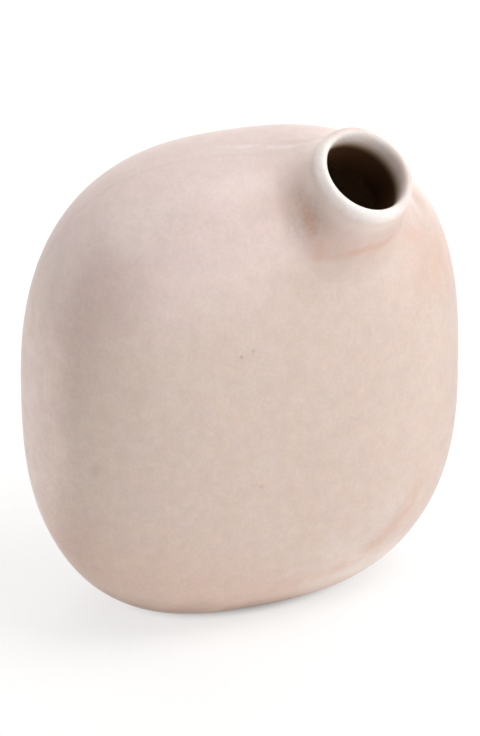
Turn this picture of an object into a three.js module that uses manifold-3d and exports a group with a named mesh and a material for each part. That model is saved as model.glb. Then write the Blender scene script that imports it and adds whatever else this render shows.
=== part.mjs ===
// A small ceramic vase: an upright, flattened pebble put together from a front and a back shell on a base slab,
// with a short leaning neck luted on the front shoulder and a coil of clay worked round that joint.
// Millimetres, Z up. The base stands on z = 0 round the origin, the front faces -Y,
// and the two shells meet in the plane y = 0.
import * as THREE from 'three';
import Module from 'manifold-3d';

// Body: half lengths at its widest level, and how far it rises and drops from there
const HALF_X = 58.1;
const HALF_Y = 30.9;
const RISE = 68.9;
const DROP = 64.3;
const WALL = 4.0;

// Fullness of the plan, the shoulder and the belly: 2 is an ellipse, more is squarer
const PLAN_FULLNESS = 2.52;
const SHOULDER_FULLNESS = 2.69;
const BELLY_FULLNESS = 2.7;

// Base: how much of the round bottom is cut away flat, and the slab that closes it
const FLAT_CUT = 2.9;
const BASE_THICKNESS = 4.0;

// Neck: where its axis leaves the shoulder, how it leans, and its length from there to the lip
const NECK_OFFSET_X = 22.9;
const NECK_SEAT_DROP = 8.8;
const NECK_TILT = 52.8;
const NECK_TURN = 24.0;
const NECK_LENGTH = 9.2;
const BORE = 21.8;
const NECK_WALL = 2.65;
const NECK_FLARE = 0.6;

// Coil round the neck joint
const COIL_WIDTH = 3.9;
const COIL_RISE = 4.0;
const COIL_EDGE = 0.8;

// Slip joint between pieces that follow each other's curves
const GAP = 0.3;

const SEGMENTS = 64;
const WALL_ROWS = 14;
const BASE_ROWS = 4;
const LIP_STEPS = 8;
const COIL_STEPS = 6;

const WIDEST_LEVEL = DROP - FLAT_CUT;
const NECK_FOOT_RADIUS = BORE / 2 + NECK_WALL + NECK_FLARE;
const tilt = THREE.MathUtils.degToRad(NECK_TILT);
const swing = THREE.MathUtils.degToRad(NECK_TURN);
const heading = new THREE.Vector3(Math.sin(swing), -Math.cos(swing), 0);
const up = new THREE.Vector3(0, 0, 1);
const neckAxis = heading.clone().multiplyScalar(Math.cos(tilt)).addScaledVector(up, Math.sin(tilt));
const downhill = heading.clone().multiplyScalar(Math.sin(tilt)).addScaledVector(up, -Math.cos(tilt));
const across = new THREE.Vector3().crossVectors(neckAxis, downhill);

function turn(index) {
  return (2 * Math.PI * index) / SEGMENTS;
}

// A sine or cosine bent to a curve's fullness, and exactly zero where the curve crosses its axis
function bent(value, fullness) {
  const size = Math.abs(value) < 1e-9 ? 0 : Math.abs(value);
  return Math.sign(value) * Math.pow(size, 2 / fullness);
}

// The other side of a full curve: two shares whose powers add up to one
function partner(share, fullness) {
  return Math.pow(Math.max(0, 1 - Math.pow(share, fullness)), 1 / fullness);
}

// A point of the wall's outer face, or of its inner one when it is set in by the wall
function wallPoint(angle, height, inset) {
  const upper = height > 0;
  const level = Math.abs(height) / ((upper ? RISE : DROP) - inset);
  const share = partner(level, upper ? SHOULDER_FULLNESS : BELLY_FULLNESS);
  const x = (HALF_X - inset) * share * bent(Math.cos(angle), PLAN_FULLNESS);
  const y = (HALF_Y - inset) * share * bent(Math.sin(angle), PLAN_FULLNESS);
  return new THREE.Vector3(x, y, WIDEST_LEVEL + height);
}

// Heights of the wall's rows over its widest level, from a level of the belly up to the crown
function rowHeights(fromLevel, inset) {
  const drop = DROP - inset;
  const start = Math.asin(Math.pow((WIDEST_LEVEL - fromLevel) / drop, BELLY_FULLNESS / 2));
  const heights = [];
  for (let row = 0; row < WALL_ROWS; row += 1) {
    heights.push(-drop * bent(Math.sin(start * (1 - row / WALL_ROWS)), BELLY_FULLNESS));
  }
  for (let row = 0; row <= WALL_ROWS; row += 1) {
    heights.push((RISE - inset) * bent(Math.sin((Math.PI / 2) * (row / WALL_ROWS)), SHOULDER_FULLNESS));
  }
  return heights;
}

function signedVolume(points, faces) {
  let sum = 0;
  for (const [a, b, c] of faces) {
    sum += points[a].dot(new THREE.Vector3().crossVectors(points[b], points[c]));
  }
  return sum / 6;
}

function solid(points, faces) {
  const outward = signedVolume(points, faces) > 0;
  const index = [];
  for (const [a, b, c] of faces) {
    index.push(a, outward ? b : c, outward ? c : b);
  }
  const geometry = new THREE.BufferGeometry();
  geometry.setFromPoints(points);
  geometry.setIndex(index);
  geometry.computeVertexNormals();
  return geometry;
}

function addQuad(faces, a, b, c, d) {
  if (a !== b) {
    faces.push([a, b, c]);
  }
  if (c !== d) {
    faces.push([a, c, d]);
  }
}

function joinRings(faces, first, second) {
  for (let i = 0; i < SEGMENTS; i += 1) {
    const j = (i + 1) % SEGMENTS;
    addQuad(faces, first + i, first + j, second + j, second + i);
  }
}

// A closed skin through rings, shut by a pole at each end
function capped(rings, startPole, endPole) {
  const points = rings.flat();
  const faces = [];
  const start = points.push(startPole) - 1;
  const end = points.push(endPole) - 1;
  const last = (rings.length - 1) * SEGMENTS;
  for (let i = 0; i < SEGMENTS; i += 1) {
    const j = (i + 1) % SEGMENTS;
    faces.push([start, j, i]);
    faces.push([end, last + i, last + j]);
  }
  for (let row = 0; row + 1 < rings.length; row += 1) {
    joinRings(faces, row * SEGMENTS, (row + 1) * SEGMENTS);
  }
  return solid(points, faces);
}

// A closed skin through rings, the last one joined back to the first
function collar(rings) {
  const faces = [];
  for (let row = 0; row < rings.length; row += 1) {
    joinRings(faces, row * SEGMENTS, ((row + 1) % rings.length) * SEGMENTS);
  }
  return solid(rings.flat(), faces);
}

// Half of the hollow pebble's wall over the base slab, round from one angle to the angle half a turn on
function halfWall(startAngle) {
  const columns = SEGMENTS / 2;
  const points = [];
  const faces = [];
  const grids = [0, WALL].map((inset) => {
    const heights = rowHeights(BASE_THICKNESS, inset);
    const crown = points.push(wallPoint(startAngle, heights.pop(), inset)) - 1;
    const rows = heights.map((height) => {
      const row = [];
      for (let column = 0; column <= columns; column += 1) {
        row.push(points.push(wallPoint(startAngle + turn(column), height, inset)) - 1);
      }
      return row;
    });
    rows.push(Array(columns + 1).fill(crown));
    return rows;
  });
  const [outer, inner] = grids;
  for (let column = 0; column < columns; column += 1) {
    const next = column + 1;
    addQuad(faces, outer[0][next], outer[0][column], inner[0][column], inner[0][next]);
    for (let row = 0; row + 1 < outer.length; row += 1) {
      addQuad(faces, outer[row][column], outer[row][next], outer[row + 1][next], outer[row + 1][column]);
      addQuad(faces, inner[row + 1][column], inner[row + 1][next], inner[row][next], inner[row][column]);
    }
  }
  for (let row = 0; row + 1 < outer.length; row += 1) {
    addQuad(faces, outer[row][0], outer[row + 1][0], inner[row + 1][0], inner[row][0]);
    addQuad(faces, outer[row + 1][columns], outer[row][columns], inner[row][columns], inner[row + 1][columns]);
  }
  return solid(points, faces);
}

function baseSlab() {
  const rings = [];
  for (let row = 0; row <= BASE_ROWS; row += 1) {
    const level = BASE_THICKNESS * (row / BASE_ROWS);
    const ring = [];
    for (let i = 0; i < SEGMENTS; i += 1) {
      ring.push(wallPoint(turn(i), level - WIDEST_LEVEL, 0));
    }
    rings.push(ring);
  }
  return capped(rings, new THREE.Vector3(0, 0, 0), new THREE.Vector3(0, 0, BASE_THICKNESS));
}

function insideBody(point) {
  const height = point.z - WIDEST_LEVEL;
  const upper = height > 0;
  const level = Math.abs(height) / (upper ? RISE : DROP);
  const alongX = Math.pow(Math.abs(point.x) / HALF_X, PLAN_FULLNESS);
  const alongY = Math.pow(Math.abs(point.y) / HALF_Y, PLAN_FULLNESS);
  const share = Math.pow(alongX + alongY, 1 / PLAN_FULLNESS);
  return level < 1 && share < partner(level, upper ? SHOULDER_FULLNESS : BELLY_FULLNESS);
}

// Where a line that starts inside the body comes out through its outer face
function wayOut(pointAt, inside, outside) {
  let near = inside;
  let far = outside;
  for (let step = 0; step < 48; step += 1) {
    const middle = (near + far) / 2;
    if (insideBody(pointAt(middle))) {
      near = middle;
    } else {
      far = middle;
    }
  }
  return (near + far) / 2;
}

// Where the neck's axis leaves the front shoulder
function neckSeat() {
  const pointAt = (y) => new THREE.Vector3(NECK_OFFSET_X, y, WIDEST_LEVEL + RISE - NECK_SEAT_DROP);
  return pointAt(wayOut(pointAt, 0, -HALF_Y));
}

const seat = neckSeat();

function neckPoint(radius, angle, lift) {
  return seat.clone()
    .addScaledVector(downhill, radius * Math.cos(angle))
    .addScaledVector(across, radius * Math.sin(angle))
    .addScaledVector(neckAxis, lift);
}

function neckRing(radius, liftAt) {
  const ring = [];
  for (let i = 0; i < SEGMENTS; i += 1) {
    ring.push(neckPoint(radius, turn(i), liftAt(turn(i))));
  }
  return ring;
}

// A ring round the neck's axis that follows the shoulder at a height over it
function seatedRing(radius, over) {
  const half = RISE / 2;
  return neckRing(radius, (angle) => over + wayOut((lift) => neckPoint(radius, angle, lift), -half, half));
}

function neckCollar() {
  const lip = NECK_WALL / 2;
  const middle = BORE / 2 + lip;
  const rings = [seatedRing(middle, GAP), seatedRing(NECK_FOOT_RADIUS, GAP)];
  for (let step = 0; step <= LIP_STEPS; step += 1) {
    const angle = (Math.PI * step) / LIP_STEPS;
    const lift = NECK_LENGTH - lip + lip * Math.sin(angle);
    rings.push(neckRing(middle + lip * Math.cos(angle), () => lift));
  }
  rings.push(seatedRing(BORE / 2, GAP));
  return collar(rings);
}

function jointCoil() {
  const inner = NECK_FOOT_RADIUS + GAP;
  const hollow = COIL_RISE - COIL_EDGE;
  const rings = [seatedRing(inner, GAP), seatedRing(inner, COIL_RISE)];
  for (let step = 0; step <= COIL_STEPS; step += 1) {
    const away = 1 - step / COIL_STEPS;
    const radius = inner + COIL_WIDTH - (COIL_WIDTH - COIL_EDGE) * away;
    rings.push(seatedRing(radius, COIL_EDGE + hollow * (1 - Math.sqrt(1 - away * away))));
  }
  rings.push(seatedRing(inner + COIL_WIDTH, GAP));
  rings.push(seatedRing(inner + COIL_WIDTH / 2, GAP));
  return collar(rings);
}

const wasm = await Module();
wasm.setup();

function toManifold(geometry) {
  const vertProperties = new Float32Array(geometry.getAttribute('position').array);
  const triVerts = new Uint32Array(geometry.getIndex().array);
  return new wasm.Manifold(new wasm.Mesh({ numProp: 3, vertProperties, triVerts }));
}

function toGeometry(manifold) {
  const mesh = manifold.getMesh();
  const geometry = new THREE.BufferGeometry();
  geometry.setAttribute('position', new THREE.BufferAttribute(mesh.vertProperties, 3));
  geometry.setIndex(new THREE.BufferAttribute(mesh.triVerts, 1));
  geometry.computeVertexNormals();
  return geometry;
}

// The front half of the wall with the neck's bore opened through its shoulder
function frontShell() {
  const reach = BORE + WALL;
  const rings = [-reach, reach].map((lift) => neckRing(BORE / 2, () => lift));
  const drill = capped(rings, neckPoint(0, 0, -reach), neckPoint(0, 0, reach));
  return toGeometry(toManifold(halfWall(Math.PI)).subtract(toManifold(drill)));
}

const glaze = new THREE.MeshStandardMaterial({ color: 0xdcc8be, roughness: 0.5, metalness: 0 });
const slip = new THREE.MeshStandardMaterial({ color: 0xd4b8a8, roughness: 0.7, metalness: 0 });
const bisque = new THREE.MeshStandardMaterial({ color: 0xd9bfae, roughness: 0.9, metalness: 0 });

const vase = new THREE.Group();
vase.name = 'vase';

function add(name, geometry, material) {
  const mesh = new THREE.Mesh(geometry, material);
  mesh.name = name;
  vase.add(mesh);
}

add('front_shell', frontShell(), glaze);
add('back_shell', halfWall(0), glaze);
add('base_slab', baseSlab(), bisque);
add('neck', neckCollar(), glaze);
add('neck_joint_coil', jointCoil(), slip);

export default vase;
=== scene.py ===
import math

import bpy
import numpy as np
from mathutils import Matrix, Vector


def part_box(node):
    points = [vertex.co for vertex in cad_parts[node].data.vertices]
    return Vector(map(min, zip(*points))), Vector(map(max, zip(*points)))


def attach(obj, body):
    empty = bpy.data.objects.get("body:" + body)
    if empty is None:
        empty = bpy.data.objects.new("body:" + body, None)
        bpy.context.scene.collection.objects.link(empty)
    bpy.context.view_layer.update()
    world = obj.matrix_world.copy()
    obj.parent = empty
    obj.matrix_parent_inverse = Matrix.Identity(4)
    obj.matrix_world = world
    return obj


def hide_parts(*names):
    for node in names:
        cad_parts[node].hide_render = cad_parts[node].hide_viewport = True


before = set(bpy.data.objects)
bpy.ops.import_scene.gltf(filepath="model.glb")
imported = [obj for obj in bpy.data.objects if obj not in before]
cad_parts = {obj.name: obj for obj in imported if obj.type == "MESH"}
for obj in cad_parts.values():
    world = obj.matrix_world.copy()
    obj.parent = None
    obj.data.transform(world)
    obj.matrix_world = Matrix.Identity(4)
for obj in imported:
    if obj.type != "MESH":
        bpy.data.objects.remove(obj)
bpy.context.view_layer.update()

# Sizes in millimetres: what a solid of the frame shows is read from it, the rest are the part's own values
MM = 0.001
front_low, front_high = (np.array(corner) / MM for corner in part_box("front_shell"))
HALF_X = front_high[0]
HALF_Y = -front_low[1]
CROWN = front_high[2]
SLAB_TOP = front_low[2]
WIDEST = 61.4
RISE = CROWN - WIDEST
DROP = 64.3
WALL = 4.0
PLAN_FULLNESS = 2.52
SHOULDER_FULLNESS = 2.69
BELLY_FULLNESS = 2.7

# Neck: where its axis leaves the shoulder, how it leans, and its collar
NECK_SEAT_X = 22.9
NECK_SEAT_DROP = 8.8
NECK_TILT = math.radians(52.8)
NECK_TURN = math.radians(24.0)
NECK_LENGTH = 9.2
BORE_RADIUS = 10.9
NECK_WALL = 2.65
NECK_RADIUS = BORE_RADIUS + NECK_WALL
LIP_INSIDE = 0.95
LIP_ROLL = 3.0
THROAT_ROLL = 1.1

# The lip is pressed out on one side: the way round to it, how far it spreads, and its width and depth
FLARE_WAY = math.radians(108)
FLARE_SPREAD = 0.2
FLARE_WIDTH = 1.5
FLARE_DEPTH = 4.2

# Inside the hollow the neck ends in a flange on the inner face of the shell
SLEEVE_FLANGE = 6.0
SLEEVE_STEP = 1.0

# Fillet round the foot of the neck: the skirt is what goes on past its curve
FILLET_WIDTH = 7.5
FILLET_UNDER_LIP = 3.2
FILLET_SKIRT = 1.0
FILLET_DEPTH = 1.0
SEAM_TUCK = 0.12

# Dry foot under the base slab: the height at which its edge starts to turn under, and how far in it ends
FOOT_ROUND_START = 0.9
FOOT_ROUND_END = 1.2

# Soft relief left by the hand: waves, with the length of one radian along x, y and z, and the starting angle
SWELL = 0.16
BROAD_WAVE = ((17.0, math.inf, 29.0), 0.8)
CROSS_WAVE = ((math.inf, 15.0, -23.0), 2.1)
SHORT_WAVE = ((9.0, 11.0, -12.0), 0.0)
SHORT_WAVE_SHARE = 0.6
SLOPE_STEP = 0.05

# Smoothed joint of the two shells: a low ridge that swings from side to side and grows over the crown
JOINT_RIDGE = 0.05
JOINT_WIDTH = 1.3
JOINT_Y = -3.5
JOINT_SWING = 0.8
JOINT_SWING_LENGTH = 14.0
JOINT_START = 118.0
JOINT_GROWTH = 9.0

# Zones of tint, painted light and painted shade: the way a border leans, where it starts and is full along
# that way, strength and tint
BODY_TONE = "#dac6bc"
ZONES_WITH_PAINTED_LIGHT_AND_SHADE = (
    ((-0.25, 0.0, 1.0), 88, 124, 1.0, "#e1ccc7"),
    ((0.45, 0.0, 1.0), 30, 0, 1.0, "#dac0b3"),
    # Darker toward the floor: painted shade low on the belly
    ((0.15, 0.0, 1.0), 8, 1, 0.8, "#ad8a78"),
    # Lighter at the far left: painted rim light
    ((-1.0, 0.0, 0.0), 50, 58, 1.0, "#f1dbd2"),
    ((1.0, 0.5, 0.0), 31, 52, 0.75, "#c7b1a8"),
)
# Patches of tint, painted shade and painted light, and pinholes: middle, reach each way, strength and tint
PATCHES_WITH_PAINTED_LIGHT_AND_SHADE = (
    # Left side, front and crown: painted shade down the left side, a paler patch on the front, and a painted
    # highlight on the left of the crown
    ((-48.0, -14.0, 98.0), (13.0, 14.0, 38.0), 0.32, "#c0a39b"),
    ((-39.0, -20.0, 102.0), (10.0, 9.0, 18.0), 0.24, "#c3a99f"),
    ((-50.0, -11.0, 28.0), (14.0, 14.0, 26.0), 0.44, "#c3a398"),
    ((-27.0, -28.5, 79.0), (17.0, 12.0, 19.0), 0.12, "#ecdcd2"),
    ((-33.0, -12.0, 118.0), (16.0, 12.0, 12.0), 0.6, "#ecdcd6"),
    # Painted light low on the right, where the floor throws light up
    ((25.0, -21.0, 12.0), (28.0, 9.0, 10.0), 0.9, "#e9ddd6"),
    # Shoulder round the neck: painted shade right of the neck and beside, behind and below it, greenish grey
    # where the glaze pools, which is also painted shade, and a pink patch on the right shoulder
    ((43.5, -8.0, 116.0), (10.0, 9.0, 7.0), 0.8, "#bba292"),
    ((45.0, -19.5, 97.0), (14.0, 14.0, 14.0), 0.4, "#d6ae9c"),
    ((16.0, -6.0, 128.0), (19.0, 9.0, 8.0), 0.5, "#c9b4ab"),
    ((5.0, -18.0, 123.0), (15.0, 15.0, 15.0), 0.26, "#b9a595"),
    ((13.0, -22.0, 116.5), (8.0, 8.0, 9.0), 0.28, "#ab9c87"),
    ((8.0, -27.5, 104.0), (13.0, 8.0, 10.0), 0.22, "#c2ac94"),
    # Pink streaks along the joint of the neck
    ((10.0, -22.2, 116.5), (2.0, 7.0, 9.0), 0.45, "#cf9a84"),
    ((12.2, -25.6, 110.3), (3.0, 5.0, 4.4), 0.42, "#cf9a84"),
    ((21.5, -25.0, 109.0), (17.0, 6.0, 2.2), 0.5, "#d0a088"),
    ((38.5, -20.0, 106.5), (7.0, 6.0, 3.5), 0.3, "#e0a997"),
    # Small spot on the left, and pinholes on the front
    ((-47.3, -21.5, 56.0), (3.5, 3.5, 3.5), 0.3, "#b9ac98"),
    ((-11.0, -29.9, 86.4), (0.8, 0.8, 0.8), 0.5, "#8d7462"),
    ((-7.8, -29.9, 87.5), (0.7, 0.7, 0.7), 0.4, "#8d7462"),
    ((-5.6, -30.6, 47.5), (1.1, 1.1, 1.1), 0.4, "#c98f78"),
)
PATCH_CORE = 0.2
WIDEST_PINHOLE = 2.0
ZONE_DRIFT = 9.0
ZONE_DRIFT_SIZE = 16.0
NOISE_MIDDLE = (0.5, 0.5, 0.5)
# Lines, among them a painted highlight and a painted reflection: the way across one and its place that way,
# half width, the way along it, where it starts and is full that way, strength and tint
LINES_WITH_PAINTED_SHEEN = (
    # A faint dark line over the crown, along the shells' joint
    ((0.21, 1.0, 0.0), -6.0, 1.2, (-0.5, 0.0, 1.0), 122, 132, 0.2, "#c3aaa4"),
    # A pale line beside it: painted highlight along the joint
    ((0.3, 1.0, 0.0), -2.3, 1.7, (0.4, 0.0, 1.0), 125, 130, 0.5, "#f2e8e8"),
    # Low on the right a pink line, and beside it a pale band that is painted reflection of the floor
    ((0.0, 1.0, 0.0), -23.7, 1.8, (0.6, 0.0, -1.0), -20, 4, 0.6, "#d0a491"),
    ((0.0, 1.0, 0.0), -26.9, 2.6, (0.6, 0.0, -1.0), -24, 0, 0.75, "#e6dedb"),
)
LINE_BREAK_SIZE = 4.5
# A ramp over a noise, a height or a distance is written as the inputs of the node that makes it
LINE_BREAKS = {"From Min": 0.35, "From Max": 0.6, "To Min": 0.25}

# Glaze round the neck: paler up its side, blushed along its joint in two rings, which have a half width and
# a strength, and flecked beside it. Real speckle is finer, and is drawn as coarse as it needs to show
NECK_TINT_DEPTH = 25.0
PALE_NECK = {"From Min": 0.0, "From Max": 5.0, "To Max": 0.6}
PALE_NECK_TINT = "#f0e4da"
BLUSH_RADIUS = 15.4
BLUSH_RINGS = ((1.7, 0.25), (4.08, 0.2))
BLUSH_LEAN = -0.2
BLUSH_SIDE = {"From Min": -14.0, "From Max": 6.0}
BLUSH_TINT = "#d3a48d"
SPECKLE_SIZE = 0.9
SPECKLES = {"From Min": 0.35, "From Max": 0.62, "To Min": 0.25}
FLECK_SIZE = 0.9
FLECKS = {"From Min": 0.36, "From Max": 0.68}
FLECK_MIDDLE = (10.0, -21.0, 117.0)
FLECK_REACH = (11.0, 9.0, 14.0)
FLECK_FADE = {"From Min": 1.0, "From Max": 0.4, "To Max": 0.3}
FLECK_TINT = "#a98b72"

# Lip, near white where the glaze is thin and in part painted light and shade: the way to one side of it, in
# shares of downhill and across, how its tint grows that way, the tint, and whether only the outside takes it
LIP_TINT_LIGHT_AND_SHADE = (
    # Whiter toward the front: thin glaze, and painted light
    ((1.0, -1.4), {"From Min": -10.0, "From Max": 8.0, "To Min": 0.7}, "#fbf2ee", False),
    # Painted shade on the outside of the far side
    ((1.0, -1.4), {"From Min": -1.0, "From Max": -9.0, "To Max": 0.48}, "#ccb5ae", True),
    # Painted shade at the right
    ((0.6, 1.0), {"From Min": 8.0, "From Max": 12.0, "To Max": 0.4}, "#d6bdb2", False),
)
LIP_TINT_HEIGHT = {"From Min": NECK_LENGTH - 4.0, "From Max": NECK_LENGTH - 0.6}
LIP_OUTSIDE = {"From Min": BORE_RADIUS + 0.2, "From Max": BORE_RADIUS + 1.4}

# Painted shade down the throat: where a tint starts and is full, along the neck, and the tint
THROAT_SHADE_STEPS = ((7.0, 3.6, "#a2896c"), (5.3, 2.5, "#4a301d"))
THROAT_MARGIN = 0.5

# Mottling: clouds with a size, a strength and a tint, then levels with a size, the darkest and the lightest.
# The last level is the grain, also drawn as coarse as it needs to show
TINT_CLOUDS = ((4.0, 0.2, "#dab8a8"), (6.0, 0.2, "#dccbb2"))
CLOUDS = {"From Min": 0.35, "From Max": 0.65}
CALM_CROWN = {"From Min": 118.0, "From Max": 92.0, "To Min": 0.4}
MOTTLES = ((3.5, 0.975, 1.035), (0.9, 0.965, 1.035))
GRAIN = {"From Min": 0.3, "From Max": 0.7}

# Faces of glaze and clay: roughness, and the size and depth of their texture
GLAZE_ROUGHNESS = {"To Min": 0.38, "To Max": 0.48}
PEEL_SIZE = 1.4
PEEL_DEPTH = 0.06
PEEL_STRENGTH = 0.15
CLAY_ROUGHNESS = 0.85
GRIT_SIZE = 0.5
GRIT_DEPTH = 0.1
GRIT_STRENGTH = 0.4
GRIT = {"From Min": 0.35, "From Max": 0.7}
CERAMIC_IOR = 1.5

# Steps of the search for the wall and of the meshes: the glaze ends a few rows into the round of the foot,
# whose flat face has rings at shares of it
HALVINGS = 48
HALF_COLUMNS = 120
WALL_ROWS = 60
NECK_COLUMNS = 144
NECK_SIDE_ROWS = 20
BORE_ROWS = 24
ARC_STEPS = 24
FOOT_SIDE_ROWS = 8
FOOT_ROUND_ROWS = 8
FOOT_GLAZED_ROWS = 11
FOOT_FLAT_SHARES = (0.9, 0.7, 0.45, 0.2)

# Photograph: its height, focal length and the body's shift in pixels, and the camera's angles and scale
PHOTO_HEIGHT = 736
CAMERA_AZIMUTH = math.radians(-20)
CAMERA_ELEVATION = math.radians(30)
MM_PER_PIXEL = 0.26
FOCAL_PIXELS = 4200
BODY_SHIFT_RIGHT = 1.54
BODY_SHIFT_UP = -11.4
SENSOR_WIDTH = 36

# Floor and studio, in metres: the shade under the vase reaches to shares of the body's half width and depth
FLOOR_HALF = 8.0
CAMERA_FAR = 20
FLOOR_GLOW = 0.7
CONTACT_SHADE = {"From Min": 0.36, "From Max": 0.6, "To Max": FLOOR_GLOW}
FAR_FLOOR = {"From Min": 0.4, "From Max": 0.9, "To Max": 1 - FLOOR_GLOW}
STUDIO_LIGHT = 0.14
STUDIO_WHITE = 1.0
# Softboxes: azimuth and elevation in degrees, 0 straight in front, then size in metres and power in watts
SOFTBOX_DISTANCE = 1.2
SOFTBOXES = (
    ("key_softbox", 60, 62, 0.6, 7.5),
    ("top_back_softbox", 180, 70, 1.2, 5.0),
    ("low_front_softbox", 0, 3, 0.6, 3.45),
    ("low_right_softbox", 45, 3, 0.6, 5.7),
    ("left_softbox", -110, 6, 0.7, 4.1),
    ("right_back_softbox", 132, 8, 0.5, 5.6),
    ("back_softbox", 180, 20, 0.9, 1.0),
)


def unit(vectors):
    """Vectors of the same way and of length 1."""
    return vectors / np.linalg.norm(vectors, axis=-1, keepdims=True)


def bent(value, fullness):
    """A sine or cosine bent so that it draws a fuller curve than an ellipse."""
    return np.sign(value) * np.abs(value) ** (2 / fullness)


def partner(share, fullness):
    """The other coordinate of that fuller curve."""
    return np.maximum(0, 1 - share ** fullness) ** (1 / fullness)


# The pebble: points, normals and inside test of its outer face, or of a face set in from it


def wall_point(angle, height, inset=0.0):
    upper = height > 0
    level = np.abs(height) / (np.where(upper, RISE, DROP) - inset)
    share = partner(level, np.where(upper, SHOULDER_FULLNESS, BELLY_FULLNESS))
    x = (HALF_X - inset) * share * bent(np.cos(angle), PLAN_FULLNESS)
    y = (HALF_Y - inset) * share * bent(np.sin(angle), PLAN_FULLNESS)
    return np.stack(np.broadcast_arrays(x, y, WIDEST + height), axis=-1)


def wall_shares(points, inset):
    """Where points lie in the pebble: shares of its width, depth, plan and height, and the fullness there."""
    height = points[..., 2] - WIDEST
    upper = height > 0
    along_x = np.abs(points[..., 0]) / (HALF_X - inset)
    along_y = np.abs(points[..., 1]) / (HALF_Y - inset)
    plan = (along_x ** PLAN_FULLNESS + along_y ** PLAN_FULLNESS) ** (1 / PLAN_FULLNESS)
    level = np.abs(height) / (np.where(upper, RISE, DROP) - inset)
    return along_x, along_y, plan, level, np.where(upper, SHOULDER_FULLNESS, BELLY_FULLNESS)


def inside_wall(points, inset=0.0):
    _, _, plan, level, fullness = wall_shares(points, inset)
    return plan ** fullness + level ** fullness < 1


def wall_normal(points, inset=0.0):
    along_x, along_y, plan, level, fullness = wall_shares(points, inset)
    reach = np.where(points[..., 2] > WIDEST, RISE, DROP) - inset
    spread = plan ** (fullness - PLAN_FULLNESS)
    nx = spread * along_x ** (PLAN_FULLNESS - 1) * np.sign(points[..., 0]) / (HALF_X - inset)
    ny = spread * along_y ** (PLAN_FULLNESS - 1) * np.sign(points[..., 1]) / (HALF_Y - inset)
    nz = level ** (fullness - 1) * np.sign(points[..., 2] - WIDEST) / reach
    return unit(np.stack([nx, ny, nz], axis=-1))


def way_out(point_at, inside, outside, inset=0.0):
    """Where a path of points leaves the pebble, found by halving the stretch between inside and outside."""
    near = np.array(inside, float)
    far = np.array(outside, float)
    for _ in range(HALVINGS):
        middle = (near + far) / 2
        within = inside_wall(point_at(middle), inset)
        near = np.where(within, middle, near)
        far = np.where(within, far, middle)
    return (near + far) / 2


def wall_heights(inset):
    """Heights of the wall's rows over its widest level, from the slab up to just below the crown."""
    drop = DROP - inset
    start = math.asin(((WIDEST - SLAB_TOP) / drop) ** (BELLY_FULLNESS / 2))
    below = -drop * bent(np.sin(np.linspace(start, 0, WALL_ROWS, endpoint=False)), BELLY_FULLNESS)
    turn = np.linspace(0, math.pi / 2, WALL_ROWS, endpoint=False)
    above = (RISE - inset) * bent(np.sin(turn), SHOULDER_FULLNESS)
    return np.concatenate([below, above])


# The neck's own frame: downhill and across its seat, and along its axis

heading = np.array([math.sin(NECK_TURN), -math.cos(NECK_TURN), 0])
upright = np.array([0, 0, 1.0])
neck_axis = heading * math.cos(NECK_TILT) + upright * math.sin(NECK_TILT)
downhill = heading * math.sin(NECK_TILT) - upright * math.cos(NECK_TILT)
across = np.cross(neck_axis, downhill)
seat_level = CROWN - NECK_SEAT_DROP
seat_depth = way_out(lambda y: np.array([NECK_SEAT_X, y, seat_level]), 0, -HALF_Y)
neck_seat = np.array([NECK_SEAT_X, float(seat_depth), seat_level])
neck_angles = np.linspace(0, 2 * math.pi, NECK_COLUMNS, endpoint=False)


def neck_point(radius, angle, lift):
    """Points round the neck's axis; angle 0 is downhill, and lift goes up along the axis from the seat."""
    radius, angle, lift = (np.asarray(value, float)[..., None] for value in (radius, angle, lift))
    return neck_seat + radius * (np.cos(angle) * downhill + np.sin(angle) * across) + lift * neck_axis


def shoulder_lift(radius, inset=0.0):
    """How high the shoulder stands along the neck's axis, all the way round at a radius."""
    reach = np.full(NECK_COLUMNS, RISE / 2)
    return way_out(lambda lift: neck_point(radius, neck_angles, lift), -reach, reach, inset)


def neck_reach(points):
    """Which points of the wall stand in the way of the neck's sleeve."""
    lift = (points - neck_seat) @ neck_axis
    radius = np.linalg.norm(points - neck_seat - lift[..., None] * neck_axis, axis=-1)
    return (radius < BORE_RADIUS + NECK_WALL / 2) & (lift > -RISE / 2)


# Relief of the surface, and the points and normals that it gives


def wave(points, lengths, start):
    """A sine over the points, from the length of one radian along x, y and z."""
    return np.sin(np.sum(points / lengths, axis=-1) + start)


def hand_relief(points):
    """How far the surface stands out at its points: the swells, and the ridge of the shells' joint."""
    x, y, z = (points[..., i] for i in range(3))
    swell = wave(points, *BROAD_WAVE) * wave(points, *CROSS_WAVE)
    swell = swell + SHORT_WAVE_SHARE * wave(points, *SHORT_WAVE)
    off_joint = (y - JOINT_Y - JOINT_SWING * np.sin(x / JOINT_SWING_LENGTH)) / JOINT_WIDTH
    over_crown = np.clip((z - JOINT_START) / JOINT_GROWTH, 0, 1)
    return SWELL * swell + JOINT_RIDGE * over_crown * np.exp(-off_joint ** 2)


def with_relief(points, normals):
    """Points moved out by the relief, and normals that follow its slopes."""
    slopes = []
    for direction in np.eye(3):
        step = SLOPE_STEP * direction
        slopes.append((hand_relief(points + step) - hand_relief(points - step)) / (2 * SLOPE_STEP))
    slope = np.stack(slopes, axis=-1)
    along = np.sum(slope * normals, axis=-1, keepdims=True) * normals
    raised = points + hand_relief(points)[..., None] * normals
    return raised, unit(normals - slope + along)


def with_relief_faded(points, normals):
    """The relief, which dies away from the top of the slab down to the floor."""
    raised, bent_normals = with_relief(points, normals)
    keep = np.clip(points[..., 2:] / SLAB_TOP, 0, 1)
    return points + keep * (raised - points), unit(normals + keep * (bent_normals - normals))


# Meshes


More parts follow.
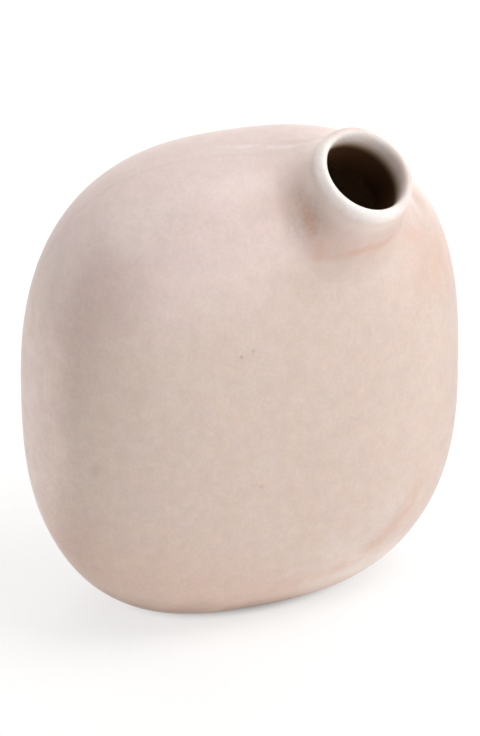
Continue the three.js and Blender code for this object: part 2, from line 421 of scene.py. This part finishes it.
def grid_faces(index, round_columns=False):
    """Faces between rows of point numbers: squares, or triangles where two corners are one point."""
    rows, columns = index.shape
    faces = []
    for row in range(rows - 1):
        for column in range(columns if round_columns else columns - 1):
            next_column = (column + 1) % columns
            corners = [index[row, column], index[row, next_column], index[row + 1, next_column],
                       index[row + 1, column]]
            faces.append(list(dict.fromkeys(int(corner) for corner in corners)))
    return faces


def grid_normals(points, round_rows):
    """Normals of a grid whose columns go round, from each point's neighbours."""
    along_columns = np.roll(points, -1, axis=1) - np.roll(points, 1, axis=1)
    along_rows = np.roll(points, -1, axis=0) - np.roll(points, 1, axis=0)
    if not round_rows:
        along_rows[0] = points[1] - points[0]
        along_rows[-1] = points[-1] - points[-2]
    return unit(np.cross(along_columns, along_rows))


def make_piece(name, points, normals, skin_faces, hidden_faces, materials, second_material=()):
    """A mesh whose skin faces are smooth with the given normals, and whose hidden faces are flat."""
    faces = skin_faces + hidden_faces
    mesh = bpy.data.meshes.new(name)
    mesh.from_pydata((points * MM).tolist(), [], faces)
    mesh.polygons.foreach_set("use_smooth", [True] * len(skin_faces) + [False] * len(hidden_faces))
    for material in materials:
        mesh.materials.append(material)
    for face in second_material:
        mesh.polygons[face].material_index = 1
    corner_normals = [normals[corner] for face in skin_faces for corner in face]
    corner_normals += [(0, 0, 0) for face in hidden_faces for corner in face]
    mesh.normals_split_custom_set(corner_normals)
    piece = bpy.data.objects.new(name, mesh)
    bpy.context.scene.collection.objects.link(piece)
    return piece


def rim_faces(faces, offset):
    """Faces that join the open edges of a skin to the same edges of the skin behind it."""
    edges = {}
    for face in faces:
        for start, end in zip(face, face[1:] + face[:1]):
            edges[(start, end)] = True
    return [[end, start, start + offset, end + offset] for start, end in edges if (end, start) not in edges]


def shell_layer(angles, inset):
    """Points and normals of one face of the wall: its rows from the slab up, then the top of the crown."""
    points = wall_point(angles[None, :], wall_heights(inset)[:, None], inset).reshape(-1, 3)
    points = np.concatenate([points, [[0, 0, CROWN - inset]]])
    return points, wall_normal(points, inset)


def half_shell(name, start_angle, materials, opened):
    """Half of the pebble's wall over the base slab, with the mouth's place left open where it is asked."""
    angles = start_angle + np.linspace(0, math.pi, HALF_COLUMNS + 1)
    outer, outer_normals = shell_layer(angles, 0.0)
    inner, inner_normals = shell_layer(angles, WALL)
    top = len(outer) - 1
    index = np.arange(top).reshape(-1, HALF_COLUMNS + 1)
    faces = grid_faces(np.concatenate([index, np.full((1, HALF_COLUMNS + 1), top)]))
    if opened:
        mouth = neck_reach(outer) | neck_reach(inner)
        faces = [face for face in faces if not any(mouth[corner] for corner in face)]
    used = sorted({corner for face in faces for corner in face})
    place = {corner: number for number, corner in enumerate(used)}
    faces = [[place[corner] for corner in face] for face in faces]
    outer, outer_normals = with_relief(outer[used], outer_normals[used])
    points = np.concatenate([outer, inner[used]])
    normals = np.concatenate([outer_normals, -inner_normals[used]])
    behind = [[corner + len(used) for corner in reversed(face)] for face in faces]
    second = range(len(faces), 2 * len(faces))
    return make_piece(name, points, normals, faces + behind, rim_faces(faces, len(used)), materials, second)


def neck_rows(profile):
    """Rings round the neck's axis, from the radius and the lift of each, which may change round the ring."""
    return np.stack([neck_point(*np.broadcast_arrays(radius, neck_angles, lift)) for radius, lift in profile])


def neck_piece(name, points, normals, skin_count, material):
    """A closed piece round the neck's axis: its first rows are the skin, and the rest close it behind."""
    points, normals = with_relief(points, normals)
    index = np.arange(len(points) * NECK_COLUMNS).reshape(-1, NECK_COLUMNS)
    skin = grid_faces(index[:skin_count], round_columns=True)
    hidden = grid_faces(np.concatenate([index[skin_count - 1:], index[:1]]), round_columns=True)
    return make_piece(name, points.reshape(-1, 3), normals.reshape(-1, 3), skin, hidden, [material])


def neck_profile():
    """Radius and lift of the neck's rows: up its outside, over the lip, down the bore and back in the wall.
    The lip turns in tightly, and on one side it is pressed out to a deeper flare."""
    foot = shoulder_lift(NECK_RADIUS) - WALL / 4
    bore_end = shoulder_lift(BORE_RADIUS, WALL) - SLEEVE_STEP
    flange_radius = BORE_RADIUS + SLEEVE_FLANGE
    flange_end = shoulder_lift(flange_radius, WALL)
    crest_radius = BORE_RADIUS + LIP_INSIDE
    flare = np.clip((np.cos(neck_angles - FLARE_WAY) + FLARE_SPREAD) / (1 + FLARE_SPREAD), 0, 1)
    flare = flare ** 2 * (3 - 2 * flare)
    lip_inside = LIP_INSIDE + flare * (FLARE_WIDTH - LIP_INSIDE)
    throat_roll = THROAT_ROLL + flare * (FLARE_DEPTH - THROAT_ROLL)
    side = NECK_LENGTH - LIP_ROLL - foot
    skin = [(NECK_RADIUS, foot + side * share) for share in np.linspace(0, 1, NECK_SIDE_ROWS)]
    for turn in np.linspace(0, math.pi, 2 * ARC_STEPS + 1)[1:]:
        outside = math.cos(turn) > 0
        width = NECK_RADIUS - crest_radius if outside else lip_inside
        drop = LIP_ROLL if outside else throat_roll
        skin.append((crest_radius + width * math.cos(turn), NECK_LENGTH - drop * (1 - math.sin(turn))))
    start = NECK_LENGTH - throat_roll
    bore = crest_radius - lip_inside
    skin += [(bore, start + (bore_end - start) * share) for share in np.linspace(0, 1, BORE_ROWS)[1:]]
    hidden = [(flange_radius, flange_end - SLEEVE_STEP), (flange_radius, flange_end + SLEEVE_STEP),
              (NECK_RADIUS - NECK_WALL / 2, foot)]
    return skin, hidden


def glazed_neck(material):
    """The collar with its lip and bore, down to the flange inside the hollow."""
    skin, hidden = neck_profile()
    points = neck_rows(skin + hidden)
    count = len(skin)
    normals = grid_normals(points, True)
    normals[0] = normals[1]
    normals[count - 1] = normals[count - 2]
    return neck_piece("glazed_neck", points, normals, count, material)


def joint_fillet(material):
    """The coil worked into the corner: a hollow curve that leaves the shoulder and runs up to the lip.
    Both of its edges tuck in under the shoulder and the neck, so that no seam shows."""
    top = NECK_LENGTH - FILLET_UNDER_LIP
    tucked_top = top + NECK_WALL / 4
    rise = top - shoulder_lift(NECK_RADIUS)
    outside = NECK_RADIUS + FILLET_WIDTH + FILLET_SKIRT
    inside = NECK_RADIUS - NECK_WALL / 2
    skin = [(outside, shoulder_lift(outside) - SEAM_TUCK)]
    for turn in np.linspace(math.pi / 2, 0, ARC_STEPS + 1):
        radius = NECK_RADIUS + FILLET_WIDTH * (1 - math.cos(turn))
        skin.append((radius, shoulder_lift(radius) + rise * (1 - math.sin(turn))))
    skin.append((NECK_RADIUS - SEAM_TUCK, tucked_top))
    hidden = [(inside, top), (inside, shoulder_lift(NECK_RADIUS) - FILLET_DEPTH),
              (outside, shoulder_lift(outside) - FILLET_DEPTH)]
    points = neck_rows(skin + hidden)
    count = len(skin)
    normals = grid_normals(points, True)
    normals[:2] = wall_normal(points[:2])
    normals[count - 2:count] = unit(points[count - 1] - neck_rows([(0, tucked_top)])[0])
    return neck_piece("joint_fillet", points, normals, count, material)


def foot_rows(angles):
    """Rings of the slab: down its side, round the edge that turns under, and in over the flat face."""
    ground = np.full(len(angles), -WIDEST)
    edge = wall_point(angles, ground)
    start = wall_point(angles, ground + FOOT_ROUND_START)
    end = edge - unit(edge * [1, 1, 0]) * FOOT_ROUND_END
    side = np.linspace(SLAB_TOP, FOOT_ROUND_START, FOOT_SIDE_ROWS)
    rows = [wall_point(angles, ground + height) for height in side]
    for share in np.linspace(0, 1, FOOT_ROUND_ROWS + 1)[1:]:
        rows.append((1 - share) ** 2 * start + 2 * share * (1 - share) * edge + share ** 2 * end)
    rows += [end * [share, share, 1] for share in FOOT_FLAT_SHARES]
    return np.stack(rows)


def dry_foot(glaze, clay):
    """The base slab: its side goes on from the shells, and its edge turns under to a flat bare face."""
    columns = 2 * HALF_COLUMNS
    points = foot_rows(np.linspace(0, 2 * math.pi, columns, endpoint=False))
    normals = grid_normals(points, False)
    normals *= np.sign(np.sum(normals[0, 0] * wall_normal(points[0])[0]))
    normals[0] = wall_normal(points[0])
    soft = FOOT_SIDE_ROWS + FOOT_ROUND_ROWS
    points[:soft], normals[:soft] = with_relief_faded(points[:soft], normals[:soft])
    middle = len(points) * columns
    top = middle + 1
    index = np.arange(middle).reshape(-1, columns)
    index = np.concatenate([index, np.full((1, columns), middle)])
    points = np.concatenate([points.reshape(-1, 3), [[0, 0, 0], [0, 0, SLAB_TOP]]])
    normals = np.concatenate([normals.reshape(-1, 3), [[0, 0, -1], [0, 0, 1]]])
    faces = [face[::-1] for face in grid_faces(index, round_columns=True)]
    lid = [[top, int(a), int(b)] for a, b in zip(index[0], np.roll(index[0], -1))]
    bare = range(FOOT_GLAZED_ROWS * columns, len(faces))
    return make_piece("dry_foot", points, normals, faces, lid, [glaze, clay], bare)


# Materials


def colour(text):
    """A linear colour from an sRGB hex value."""
    parts = [int(text[i:i + 2], 16) / 255 for i in (1, 3, 5)]
    return tuple(p / 12.92 if p <= 0.04045 else ((p + 0.055) / 1.055) ** 2.4 for p in parts) + (1.0,)


def add(tree, kind, inputs=None, **settings):
    """A node with its settings and inputs; an input is a value, a socket, or a node for its first output."""
    made = tree.nodes.new(kind)
    for name, value in settings.items():
        setattr(made, name, value)
    for name, value in (inputs or {}).items():
        if isinstance(value, bpy.types.Node):
            value = value.outputs[0]
        if isinstance(value, bpy.types.NodeSocket):
            tree.links.new(value, made.inputs[name])
        else:
            made.inputs[name].default_value = value
    return made


def new_material(name):
    """A material with an empty node tree."""
    material = bpy.data.materials.new(name)
    material.use_nodes = True
    tree = material.node_tree
    tree.nodes.clear()
    return material, tree


def lay(tree, tone, layers):
    """A tone with layers over it, each the share of the face that it covers at a place, and its tint."""
    for share, tint in layers:
        tone = add(tree, "ShaderNodeMix", {0: share, 6: tone, 7: colour(tint)}, data_type="RGBA").outputs[2]
    return tone


# Layers of the glaze, from the places of its points in millimetres


def wandering(tree, place):
    """The place moved by a few millimetres, so that borders laid on it wander."""
    drift = add(tree, "ShaderNodeTexNoise", {"Vector": place, "Scale": 1 / ZONE_DRIFT_SIZE, "Detail": 3.0})
    drift = add(tree, "ShaderNodeVectorMath", {0: drift.outputs["Color"], 1: NOISE_MIDDLE},
                operation="SUBTRACT")
    drift = add(tree, "ShaderNodeVectorMath", {0: drift, "Scale": ZONE_DRIFT}, operation="SCALE")
    return add(tree, "ShaderNodeVectorMath", {0: place, 1: drift}, operation="ADD")


def share_of_reach(tree, place, middle, reach):
    """How far a place lies from a middle, with 1 at the reach."""
    away = add(tree, "ShaderNodeVectorMath", {0: place, 1: middle}, operation="SUBTRACT")
    away = add(tree, "ShaderNodeVectorMath", {0: away, 1: reach}, operation="DIVIDE")
    return add(tree, "ShaderNodeVectorMath", {0: away}, operation="LENGTH").outputs["Value"]


def zone_layers(tree, wandered):
    """Broad zones: over the crown, toward the foot, which darkens low down as painted shade, and on both
    sides, with painted rim light at the far left.
    """
    layers = []
    for lean, start, full, strength, tint in ZONES_WITH_PAINTED_LIGHT_AND_SHADE:
        along = add(tree, "ShaderNodeVectorMath", {0: wandered, 1: lean}, operation="DOT_PRODUCT")
        share = add(tree, "ShaderNodeMapRange", {"Value": along.outputs["Value"], "From Min": start,
                    "From Max": full, "To Max": strength}, interpolation_type="SMOOTHSTEP")
        layers.append((share, tint))
    return layers


def patch_layers(tree, place, wandered):
    """Patches wander as the zones do, and pinholes stay put."""
    layers = []
    for middle, reach, strength, tint in PATCHES_WITH_PAINTED_LIGHT_AND_SHADE:
        away = share_of_reach(tree, wandered if max(reach) > WIDEST_PINHOLE else place, middle, reach)
        share = add(tree, "ShaderNodeMapRange", {"Value": away, "From Min": 1.0, "From Max": PATCH_CORE,
                    "To Max": strength}, interpolation_type="SMOOTHSTEP")
        layers.append((share, tint))
    return layers


def line_layers(tree, place):
    """Broken lines: over the crown along the shells' joint, a dark one and a painted highlight, and low on
    the right a pink line and a pale band of painted reflection.
    """
    layers = []
    broken = add(tree, "ShaderNodeTexNoise", {"Vector": place, "Scale": 1 / LINE_BREAK_SIZE, "Detail": 2.0})
    broken = add(tree, "ShaderNodeMapRange", {"Value": broken, **LINE_BREAKS})
    for across_way, middle, width, along_way, start, full, strength, tint in LINES_WITH_PAINTED_SHEEN:
        along = add(tree, "ShaderNodeVectorMath", {0: place, 1: along_way}, operation="DOT_PRODUCT")
        stretch = add(tree, "ShaderNodeMapRange", {"Value": along.outputs["Value"], "From Min": start,
                      "From Max": full, "To Max": strength}, interpolation_type="SMOOTHSTEP")
        aside = add(tree, "ShaderNodeVectorMath", {0: place, 1: across_way}, operation="DOT_PRODUCT")
        off_line = add(tree, "ShaderNodeMath", {0: aside.outputs["Value"], 1: middle}, operation="SUBTRACT")
        off_line = add(tree, "ShaderNodeMath", {0: off_line}, operation="ABSOLUTE")
        share = add(tree, "ShaderNodeMapRange", {"Value": off_line, "From Min": width, "From Max": 0.0},
                    interpolation_type="SMOOTHSTEP")
        share = add(tree, "ShaderNodeMath", {0: share, 1: stretch}, operation="MULTIPLY")
        share = add(tree, "ShaderNodeMath", {0: share, 1: broken}, operation="MULTIPLY")
        layers.append((share, tint))
    return layers


def neck_measures(tree, place):
    """The way from the neck's seat, the height along its axis, the distance from it, and 1 near the neck."""
    off_seat = add(tree, "ShaderNodeVectorMath", {0: place, 1: tuple(neck_seat)}, operation="SUBTRACT")
    lift = add(tree, "ShaderNodeVectorMath", {0: off_seat, 1: tuple(neck_axis)}, operation="DOT_PRODUCT")
    lift = lift.outputs["Value"]
    along = add(tree, "ShaderNodeVectorMath", {0: tuple(neck_axis), "Scale": lift}, operation="SCALE")
    off_axis = add(tree, "ShaderNodeVectorMath", {0: off_seat, 1: along}, operation="SUBTRACT")
    radius = add(tree, "ShaderNodeVectorMath", {0: off_axis}, operation="LENGTH").outputs["Value"]
    at_neck = add(tree, "ShaderNodeMath", {0: lift, 1: -NECK_TINT_DEPTH}, operation="GREATER_THAN")
    return off_seat, lift, radius, at_neck


def joint_layers(tree, place, off_seat, lift, radius, at_neck):
    """Paler glaze up the neck, and a speckled blush on its joint, strongest on the side down the shoulder."""
    pale = add(tree, "ShaderNodeMapRange", {"Value": lift, **PALE_NECK}, interpolation_type="SMOOTHSTEP")
    layers = [(pale, PALE_NECK_TINT)]
    speckle = add(tree, "ShaderNodeTexNoise", {"Vector": place, "Scale": 1 / SPECKLE_SIZE, "Detail": 2.0})
    speckle = add(tree, "ShaderNodeMapRange", {"Value": speckle, **SPECKLES})
    way_down = tuple(downhill + BLUSH_LEAN * across)
    side = add(tree, "ShaderNodeVectorMath", {0: off_seat, 1: way_down}, operation="DOT_PRODUCT")
    side = add(tree, "ShaderNodeMapRange", {"Value": side.outputs["Value"], **BLUSH_SIDE})
    side = add(tree, "ShaderNodeMath", {0: side, 1: at_neck}, operation="MULTIPLY")
    off_ring = add(tree, "ShaderNodeMath", {0: radius, 1: BLUSH_RADIUS}, operation="SUBTRACT")
    off_ring = add(tree, "ShaderNodeMath", {0: off_ring}, operation="ABSOLUTE")
    for width, strength in BLUSH_RINGS:
        share = add(tree, "ShaderNodeMapRange", {"Value": off_ring, "From Min": width, "From Max": 0.0,
                    "To Max": strength}, interpolation_type="SMOOTHSTEP")
        share = add(tree, "ShaderNodeMath", {0: share, 1: side}, operation="MULTIPLY")
        share = add(tree, "ShaderNodeMath", {0: share, 1: speckle}, operation="MULTIPLY")
        layers.append((share, BLUSH_TINT))
    return layers


def fleck_layers(tree, place, wandered):
    """Brown flecks where the slip lies thick, beside the neck."""
    flecks = add(tree, "ShaderNodeTexNoise", {"Vector": place, "Scale": 1 / FLECK_SIZE, "Detail": 1.0})
    flecks = add(tree, "ShaderNodeMapRange", {"Value": flecks, **FLECKS})
    away = share_of_reach(tree, wandered, FLECK_MIDDLE, FLECK_REACH)
    share = add(tree, "ShaderNodeMapRange", {"Value": away, **FLECK_FADE}, interpolation_type="SMOOTHSTEP")
    return [(add(tree, "ShaderNodeMath", {0: share, 1: flecks}, operation="MULTIPLY"), FLECK_TINT)]


def lip_layers(tree, off_seat, lift, radius):
    """Pale lip, whitest toward the front, in part painted light, with painted shade on the outside of the far
    side and at the right.
    """
    layers = []
    height = add(tree, "ShaderNodeMapRange", {"Value": lift, **LIP_TINT_HEIGHT},
                 interpolation_type="SMOOTHSTEP")
    outside = add(tree, "ShaderNodeMapRange", {"Value": radius, **LIP_OUTSIDE},
                  interpolation_type="SMOOTHSTEP")
    for (down, aside), growth, tint, only_outside in LIP_TINT_LIGHT_AND_SHADE:
        way = tuple(down * downhill + aside * across)
        along = add(tree, "ShaderNodeVectorMath", {0: off_seat, 1: way}, operation="DOT_PRODUCT")
        share = add(tree, "ShaderNodeMapRange", {"Value": along.outputs["Value"], **growth})
        if only_outside:
            share = add(tree, "ShaderNodeMath", {0: share, 1: outside}, operation="MULTIPLY")
        share = add(tree, "ShaderNodeMath", {0: height, 1: share}, operation="MULTIPLY")
        layers.append((share, tint))
    return layers


def cloud_layers(tree, place):
    """Pink and cream clouds, which are calmer over the crown."""
    layers = []
    level = add(tree, "ShaderNodeSeparateXYZ", {0: place}).outputs["Z"]
    calm = add(tree, "ShaderNodeMapRange", {"Value": level, **CALM_CROWN}, interpolation_type="SMOOTHSTEP")
    for size, strength, tint in TINT_CLOUDS:
        clouds = add(tree, "ShaderNodeTexNoise", {"Vector": place, "Scale": 1 / size, "Detail": 3.0})
        share = add(tree, "ShaderNodeMapRange", {"Value": clouds, **CLOUDS, "To Max": strength})
        share = add(tree, "ShaderNodeMath", {0: share, 1: calm}, operation="MULTIPLY")
        layers.append((share, tint))
    return layers


def throat_shade_layers(tree, lift, radius, at_neck):
    """Painted shade down the bore: tan, then deep brown further in."""
    layers = []
    inside = add(tree, "ShaderNodeMath", {0: radius, 1: BORE_RADIUS + THROAT_MARGIN}, operation="LESS_THAN")
    inside = add(tree, "ShaderNodeMath", {0: inside, 1: at_neck}, operation="MULTIPLY")
    for start, full, tint in THROAT_SHADE_STEPS:
        share = add(tree, "ShaderNodeMapRange", {"Value": lift, "From Min": start, "From Max": full},
                    interpolation_type="SMOOTHSTEP")
        share = add(tree, "ShaderNodeMath", {0: share, 1: inside}, operation="MULTIPLY")
        layers.append((share, tint))
    return layers


def mottled(tree, place, tone):
    """A tone made darker and lighter in small clouds, then in a fine grain, and the noise of that grain."""
    for size, darkest, lightest in MOTTLES:
        grain = add(tree, "ShaderNodeTexNoise", {"Vector": place, "Scale": 1 / size, "Detail": 2.0})
        level = add(tree, "ShaderNodeMapRange", {"Value": grain, **GRAIN, "To Min": darkest,
                    "To Max": lightest})
        tone = add(tree, "ShaderNodeVectorMath", {0: tone, "Scale": level}, operation="SCALE").outputs[0]
    return tone, grain


def satin_glaze():
    """Stoneware glaze, dipped thin over a pale body and fired to a satin face. It is cream where it lies
    thick, cooler over the crown, and blushes pink where it thins toward the foot and along the joint of the
    neck. The lip shows near white. Fine mottling and a few pinholes keep the face from looking painted.
    Painted shade lies down the left side, round the neck, low on the belly and down the throat, which goes to
    deep brown below the lip; painted light lies at the far left, on the crown and low on the right."""
    material, tree = new_material("satin_stoneware_glaze_dipped")
    metres = add(tree, "ShaderNodeTexCoord").outputs["Object"]
    place = add(tree, "ShaderNodeVectorMath", {0: metres, "Scale": 1 / MM}, operation="SCALE")
    wandered = wandering(tree, place)
    off_seat, lift, radius, at_neck = neck_measures(tree, place)
    layers = zone_layers(tree, wandered) + patch_layers(tree, place, wandered) + line_layers(tree, place)
    layers += joint_layers(tree, place, off_seat, lift, radius, at_neck) + fleck_layers(tree, place, wandered)
    layers += lip_layers(tree, off_seat, lift, radius) + cloud_layers(tree, place)
    tone = lay(tree, colour(BODY_TONE), layers)
    tone, grain = mottled(tree, place, tone)
    tone = lay(tree, tone, throat_shade_layers(tree, lift, radius, at_neck))
    sheen = add(tree, "ShaderNodeMapRange", {"Value": grain, **GRAIN, **GLAZE_ROUGHNESS})
    peel = add(tree, "ShaderNodeTexNoise", {"Vector": place, "Scale": 1 / PEEL_SIZE, "Detail": 3.0})
    bump = add(tree, "ShaderNodeBump", {"Height": peel, "Strength": PEEL_STRENGTH,
               "Distance": PEEL_DEPTH * MM})
    shader = add(tree, "ShaderNodeBsdfPrincipled", {"Base Color": tone, "Roughness": sheen,
                 "IOR": CERAMIC_IOR, "Normal": bump})
    add(tree, "ShaderNodeOutputMaterial", {"Surface": shader})
    return material


def bare_clay(name, pale, dark):
    """Unglazed fired stoneware, wiped with a sponge: a dry, gritty face with darker iron specks."""
    material, tree = new_material(name)
    metres = add(tree, "ShaderNodeTexCoord").outputs["Object"]
    grit = add(tree, "ShaderNodeTexNoise", {"Vector": metres, "Scale": 1 / (GRIT_SIZE * MM), "Detail": 4.0})
    share = add(tree, "ShaderNodeMapRange", {"Value": grit, **GRIT})
    tone = lay(tree, colour(pale), [(share, dark)])
    bump = add(tree, "ShaderNodeBump", {"Height": grit, "Strength": GRIT_STRENGTH,
               "Distance": GRIT_DEPTH * MM})
    shader = add(tree, "ShaderNodeBsdfPrincipled", {"Base Color": tone, "Roughness": CLAY_ROUGHNESS,
                 "IOR": CERAMIC_IOR, "Normal": bump})
    add(tree, "ShaderNodeOutputMaterial", {"Surface": shader})
    return material


# Pieces of the vase

glaze = satin_glaze()
clay = bare_clay("sponged_bare_stoneware", "#cdb29c", "#b4957c")
inside_clay = bare_clay("raw_stoneware_inside", "#e2c8ac", "#d2b491")

front = half_shell("front_shell_glazed", math.pi, [glaze, inside_clay], True)
back = half_shell("back_shell_glazed", 0.0, [glaze, inside_clay], False)
neck = glazed_neck(glaze)
fillet = joint_fillet(glaze)
foot = dry_foot(glaze, clay)
for piece, node, slot in (
    (front, "front_shell", "satin_glaze"),
    (back, "back_shell", "satin_glaze"),
    (neck, "neck", "satin_glaze"),
    (fillet, "neck_joint_coil", "flashed_slip"),
    (foot, "base_slab", "bare_clay"),
):
    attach(piece, "root")
    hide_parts(node)

# Floor, light and camera

body_middle = Vector((0, 0, WIDEST * MM))


def way_to(azimuth, elevation):
    """The way from the body to a lamp or the camera, whose azimuth is 0 straight in front."""
    return Vector((math.sin(azimuth) * math.cos(elevation), -math.cos(azimuth) * math.cos(elevation),
                   math.sin(elevation)))


def seen_or_mirrored(tree):
    """1 for what the camera sees, straight or by way of a glossy or clear surface, and 0 for other light."""
    path = add(tree, "ShaderNodeLightPath")
    seen = add(tree, "ShaderNodeMath", {0: path.outputs["Is Camera Ray"], 1: path.outputs["Is Glossy Ray"]},
               operation="MAXIMUM")
    return add(tree, "ShaderNodeMath", {0: seen, 1: path.outputs["Is Transmission Ray"]}, operation="MAXIMUM")


def white_paper():
    """Matt paper of a white sweep: the eye sees it near white, with a faint shadow and painted shade under
    the vase.
    """
    material, tree = new_material("matt_white_paper_sweep")
    lit = add(tree, "ShaderNodeBsdfDiffuse", {"Color": colour("#f7f6f5")})
    shaded = add(tree, "ShaderNodeBsdfDiffuse", {"Color": colour("#a09f9e")})
    metres = add(tree, "ShaderNodeTexCoord").outputs["Object"]
    reach = share_of_reach(tree, metres, (0.0, 0.0, 0.0), (HALF_X * MM, HALF_Y * MM, 1.0))
    # The glow fades out close under the vase, so the paper there shows darker: painted shade over its own
    # shadow
    near = add(tree, "ShaderNodeMapRange", {"Value": reach, **CONTACT_SHADE}, interpolation_type="SMOOTHSTEP")
    away = add(tree, "ShaderNodeVectorMath", {0: metres}, operation="LENGTH").outputs["Value"]
    far = add(tree, "ShaderNodeMapRange", {"Value": away, **FAR_FLOOR}, interpolation_type="SMOOTHSTEP")
    level = add(tree, "ShaderNodeMath", {0: near, 1: far}, operation="ADD")
    glow = add(tree, "ShaderNodeEmission", {"Color": colour("#ffffff"), "Strength": level})
    seen = add(tree, "ShaderNodeAddShader", {0: shaded, 1: glow})
    mix = add(tree, "ShaderNodeMixShader", {0: seen_or_mirrored(tree), 1: lit, 2: seen})
    add(tree, "ShaderNodeOutputMaterial", {"Surface": mix})
    return material


def pale_floor(material):
    """A wide flat sheet that the vase stands on."""
    mesh = bpy.data.meshes.new("floor")
    corners = [(x * FLOOR_HALF, y * FLOOR_HALF, 0) for x, y in ((-1, -1), (1, -1), (1, 1), (-1, 1))]
    mesh.from_pydata(corners, [], [(0, 1, 2, 3)])
    mesh.materials.append(material)
    floor = bpy.data.objects.new("floor", mesh)
    bpy.context.scene.collection.objects.link(floor)


def softbox(name, azimuth, elevation, size, power):
    """A square white lamp that looks at the body."""
    lamp = bpy.data.lights.new(name, "AREA")
    lamp.size = size
    lamp.energy = power
    toward = way_to(math.radians(azimuth), math.radians(elevation))
    holder = bpy.data.objects.new(name, lamp)
    holder.location = body_middle + toward * SOFTBOX_DISTANCE
    holder.rotation_euler = toward.to_track_quat("Z", "Y").to_euler()
    bpy.context.scene.collection.objects.link(holder)


def white_studio():
    """White walls round the vase, seen by the camera and mirrored in the glaze, which give little light."""
    world = bpy.data.worlds.new("studio")
    world.use_nodes = True
    tree = world.node_tree
    tree.nodes.clear()
    strength = add(tree, "ShaderNodeMapRange", {"Value": seen_or_mirrored(tree), "To Min": STUDIO_LIGHT,
                   "To Max": STUDIO_WHITE})
    background = add(tree, "ShaderNodeBackground", {"Color": colour("#ffffff"), "Strength": strength})
    add(tree, "ShaderNodeOutputWorld", {"Surface": background})
    bpy.context.scene.world = world


def photo_camera():
    """A camera with a long lens, from where the photograph was taken."""
    toward = way_to(CAMERA_AZIMUTH, CAMERA_ELEVATION)
    right = Vector((math.cos(CAMERA_AZIMUTH), math.sin(CAMERA_AZIMUTH), 0))
    above = toward.cross(right)
    lens = bpy.data.cameras.new("photo_camera")
    lens.sensor_width = SENSOR_WIDTH
    lens.lens = SENSOR_WIDTH * FOCAL_PIXELS / PHOTO_HEIGHT
    lens.clip_end = CAMERA_FAR
    camera = bpy.data.objects.new("photo_camera", lens)
    pixel = MM_PER_PIXEL * MM
    camera.location = (body_middle + toward * FOCAL_PIXELS * pixel
                       - right * BODY_SHIFT_RIGHT * pixel - above * BODY_SHIFT_UP * pixel)
    camera.rotation_euler = Matrix((right, above, toward)).transposed().to_euler()
    bpy.context.scene.collection.objects.link(camera)
    bpy.context.scene.camera = camera


pale_floor(white_paper())
for values in SOFTBOXES:
    softbox(*values)
white_studio()
bpy.context.scene.view_settings.view_transform = "Standard"
photo_camera()
